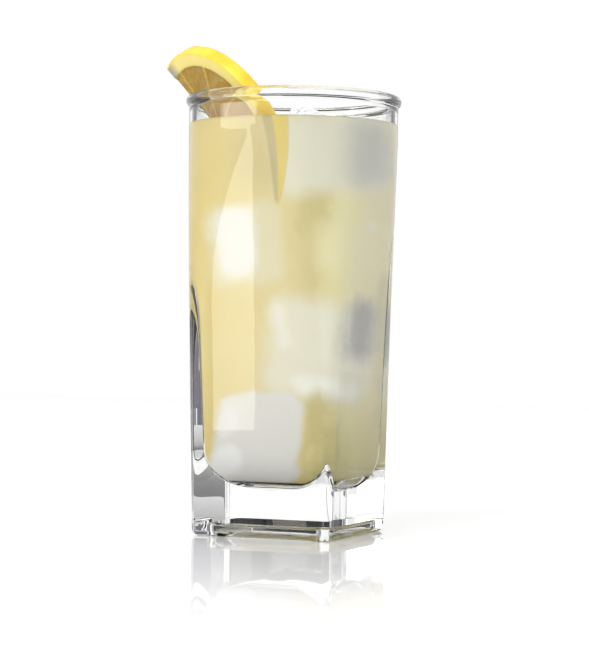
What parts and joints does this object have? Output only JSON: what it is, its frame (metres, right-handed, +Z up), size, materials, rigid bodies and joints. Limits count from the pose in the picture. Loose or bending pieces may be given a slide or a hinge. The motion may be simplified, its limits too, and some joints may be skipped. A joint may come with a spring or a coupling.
{
  "type": "glass of lemonade",
  "caption": "Tall tumbler, round at the rim and square at its thick base, filled with cloudy lemonade and ice, with a half slice of lemon hung over the rim.",
  "frame": {"origin": "middle of the glass's underside, on the surface it stands on", "axes": "+Z up; the four flats of the square base face +X, -X, +Y and -Y; the lemon leans over the rim on the -X side, towards -Y"},
  "size_m": [0.0751, 0.07, 0.1574],
  "materials": {
    "clear_glass": "clear, polished",
    "lemonade": "cloudy pale yellow liquid",
    "lemon": "wet lemon: yellow peel, pale pith, darker flesh",
    "ice": "clear ice, slightly melted"
  },
  "bodies": {
    "root": {"glass": "clear_glass", "lemonade": "lemonade", "lemon_slice": "lemon", "ice_cube": "ice"}
  },
  "joints": []
}
